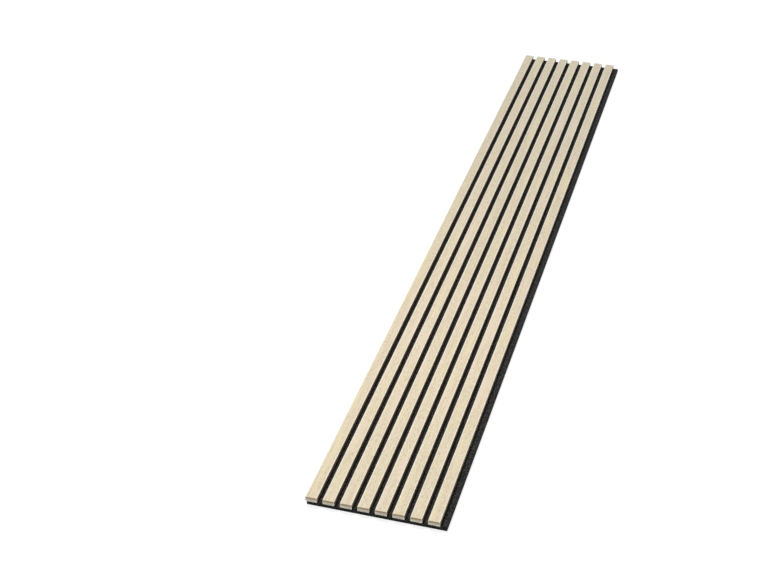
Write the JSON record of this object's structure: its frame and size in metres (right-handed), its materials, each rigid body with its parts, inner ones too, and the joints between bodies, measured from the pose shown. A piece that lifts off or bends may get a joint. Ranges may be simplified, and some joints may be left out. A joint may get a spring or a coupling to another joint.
{
  "type": "acoustic slat wall panel",
  "caption": "Wall panel of pale wooden slats on a dark felt board, with open grooves between the slats and a felt lap along one long edge, made to be fixed side by side.",
  "frame": {"origin": "middle of the felt board's back face, on the wall or floor side", "axes": "+Y along the slats, +X across them towards the edge where the felt reaches past the last slat, +Z out of the wall towards the room"},
  "size_m": [0.323, 2.4, 0.021],
  "materials": {
    "slat_wood": "pale straight-grained wood, matt lacquer",
    "felt": "needle-punched felt, charcoal with lighter fibres",
    "staple_steel": "galvanised flat wire"
  },
  "bodies": {
    "root": {"felt_backing": "felt", "slat_1": "slat_wood", "slat_2": "slat_wood", "slat_3": "slat_wood", "slat_4": "slat_wood", "slat_5": "slat_wood", "slat_6": "slat_wood", "slat_7": "slat_wood", "slat_8": "slat_wood", "staples": "staple_steel"}
  },
  "joints": []
}
